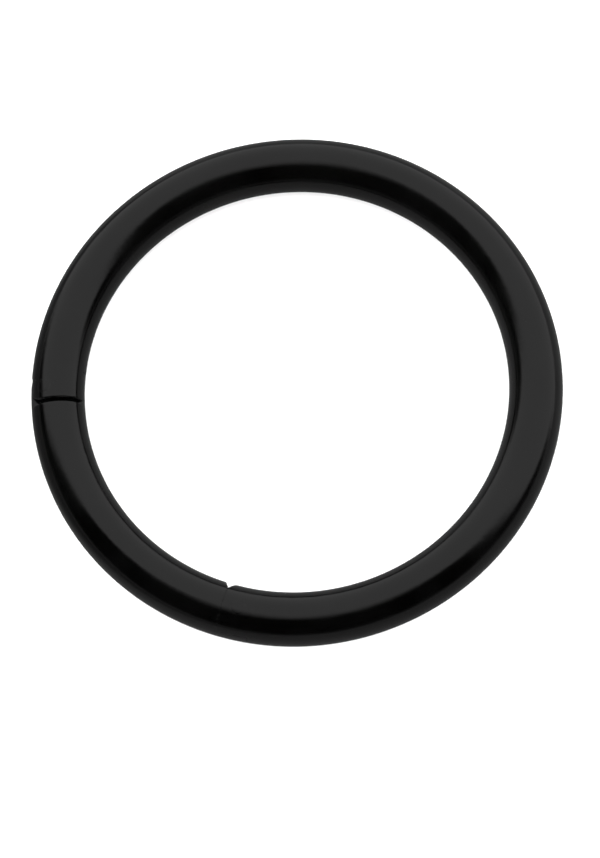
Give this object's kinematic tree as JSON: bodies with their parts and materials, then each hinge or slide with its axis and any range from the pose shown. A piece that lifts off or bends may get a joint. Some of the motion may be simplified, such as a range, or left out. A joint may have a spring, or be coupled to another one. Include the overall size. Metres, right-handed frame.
{
  "type": "hinged segment ring",
  "caption": "Closed ring of round black steel wire with a short gate that swings out on a cross pin and snaps shut on a second pin.",
  "frame": {"origin": "centre of the closed ring, at the middle of the wire", "axes": "+Z along the ring's axis; the hinge seam lies just past -X (183.5 degrees counterclockwise from +X) and the latch seam at 251.5 degrees, so the gate is the lower left quarter seen from +Z"},
  "size_m": [0.0119, 0.0118, 0.0012],
  "materials": {
    "black_coat": "polished steel under a hard gloss black coating",
    "pin_coat": "steel wire pin ends, ground flush and coated with the ring"
  },
  "bodies": {
    "ring": {"ring_body": "black_coat", "hinge_pin": "pin_coat", "latch_pin": "pin_coat"},
    "gate": {"gate_segment": "black_coat"}
  },
  "joints": [
    {"name": "gate_swing", "type": "hinge", "parent": "ring", "child": "gate", "pos_m": [-0.00562, 0.00003, 0], "axis": [0, 0, -1], "range_deg": [0, 90]}
  ]
}
